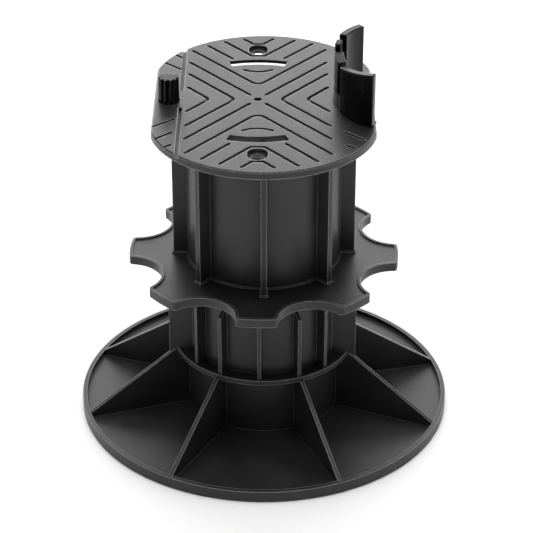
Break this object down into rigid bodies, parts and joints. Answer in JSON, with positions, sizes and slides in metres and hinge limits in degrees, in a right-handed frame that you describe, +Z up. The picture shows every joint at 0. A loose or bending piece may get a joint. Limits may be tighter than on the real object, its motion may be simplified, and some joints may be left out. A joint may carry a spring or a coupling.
{
  "type": "decking pedestal",
  "caption": "Adjustable decking pedestal: flanged foot with fins, lobed threaded lifting wheel, finned stem and oblong grooved head plate with side clip and toothed knob.",
  "frame": {"origin": "centre of the foot's underside, on the ground", "axes": "+Z up along the lifting thread, -Y towards the picture's camera, side clip on +X"},
  "size_m": [0.2, 0.2, 0.2109],
  "materials": {
    "black_plastic": "satin moulded polypropylene",
    "grey_black_plastic": "fine textured moulded polypropylene"
  },
  "bodies": {
    "foot": {"foot": "black_plastic"},
    "stem": {"stem": "black_plastic"},
    "wheel": {"lift_wheel": "black_plastic"},
    "head": {"head_plate": "grey_black_plastic", "side_clip": "black_plastic"},
    "knob": {"adjuster_knob": "black_plastic"}
  },
  "joints": [
    {"name": "lift", "type": "slide", "parent": "foot", "child": "stem", "axis": [0, 0, 1], "range_m": [-0.007, 0.03]},
    {"name": "wheel_turn", "type": "hinge", "parent": "stem", "child": "wheel", "pos_m": [0, 0, 0.089], "axis": [0, 0, 1], "range_deg": [-420, 1800]},
    {"name": "head_turn", "type": "hinge", "parent": "stem", "child": "head", "pos_m": [0, 0, 0.1783], "axis": [0, 0, 1], "continuous": true},
    {"name": "knob_turn", "type": "hinge", "parent": "head", "child": "knob", "pos_m": [-0.0484, -0.0016, 0.1803], "axis": [0, 0, 1], "continuous": true}
  ],
  "couplings": [
    {"joint": "lift", "follows": "wheel_turn", "m_per_rad": 0.0009549}
  ]
}
